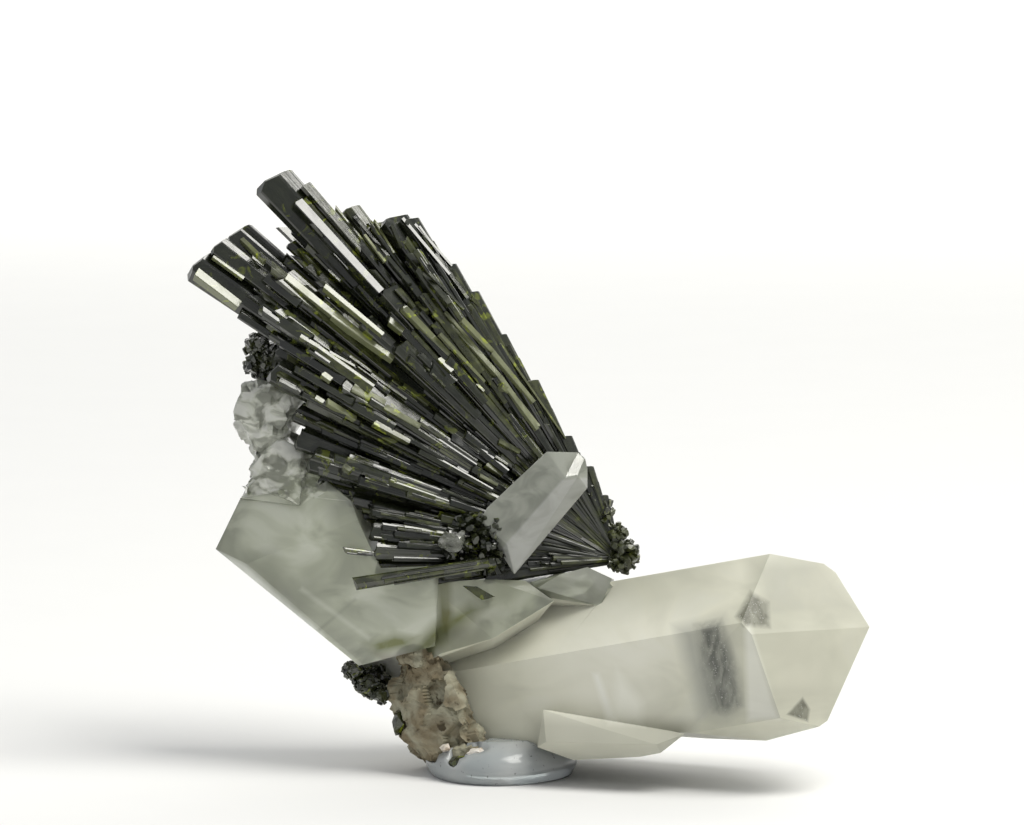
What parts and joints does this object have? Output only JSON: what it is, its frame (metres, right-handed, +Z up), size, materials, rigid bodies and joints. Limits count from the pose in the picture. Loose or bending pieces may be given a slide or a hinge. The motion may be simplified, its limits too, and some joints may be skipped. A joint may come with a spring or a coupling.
{
  "type": "epidote on quartz",
  "caption": "Mineral specimen: a dark green radiating spray of epidote laths grown on milky, translucent quartz crystals, standing on a small clear mounting pad.",
  "frame": {"origin": "the middle of the mounting pad's flat bottom", "axes": "+Z up, +X to the right along the large quartz crystal, +Y away from the side that is shown"},
  "size_m": [0.0956, 0.0409, 0.0843],
  "materials": {
    "quartz": "satin",
    "epidote": "gloss",
    "rock": "matte",
    "feldspar": "matte",
    "gel": "satin"
  },
  "bodies": {
    "root": {"quartz_crystals": "quartz", "quartz_point": "quartz", "quartz_bead": "quartz", "epidote_spray": "epidote", "epidote_crust": "epidote", "epidote_underside": "epidote", "epidote_flake": "epidote", "epidote_chip": "epidote", "epidote_foot": "epidote", "matrix_rock": "rock", "feldspar_small": "feldspar", "feldspar_large": "feldspar", "mounting_pad": "gel"}
  },
  "joints": []
}
